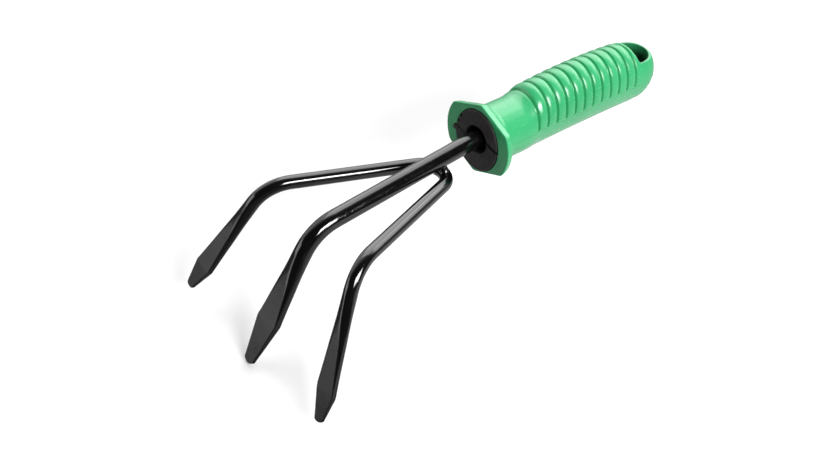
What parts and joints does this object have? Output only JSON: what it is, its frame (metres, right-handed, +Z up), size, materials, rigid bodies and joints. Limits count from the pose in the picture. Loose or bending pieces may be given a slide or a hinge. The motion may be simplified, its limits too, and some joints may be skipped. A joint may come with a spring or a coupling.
{
  "type": "hand cultivator",
  "caption": "Hand cultivator with black forged tines bent downward and a ribbed green plastic grip with a hexagonal flange and a hanging loop.",
  "frame": {"origin": "middle of the underside of the bounding box, level with the point of the centre tine", "axes": "+X forward along the grip to the tines, +Y to the right-hand tine, +Z up, away from the points of the tines"},
  "size_m": [0.2564, 0.1112, 0.0945],
  "materials": {
    "grip_plastic": "semi-gloss moulded grass-green plastic",
    "bush_plastic": "matt dark grey moulded plastic",
    "enamelled_steel": "glossy black enamel on steel bar"
  },
  "bodies": {
    "root": {"grip": "grip_plastic", "bush_upper_half": "bush_plastic", "bush_lower_half": "bush_plastic", "centre_tine": "enamelled_steel", "side_tine_fork": "enamelled_steel", "weld_bead_left": "enamelled_steel", "weld_bead_right": "enamelled_steel"}
  },
  "joints": []
}
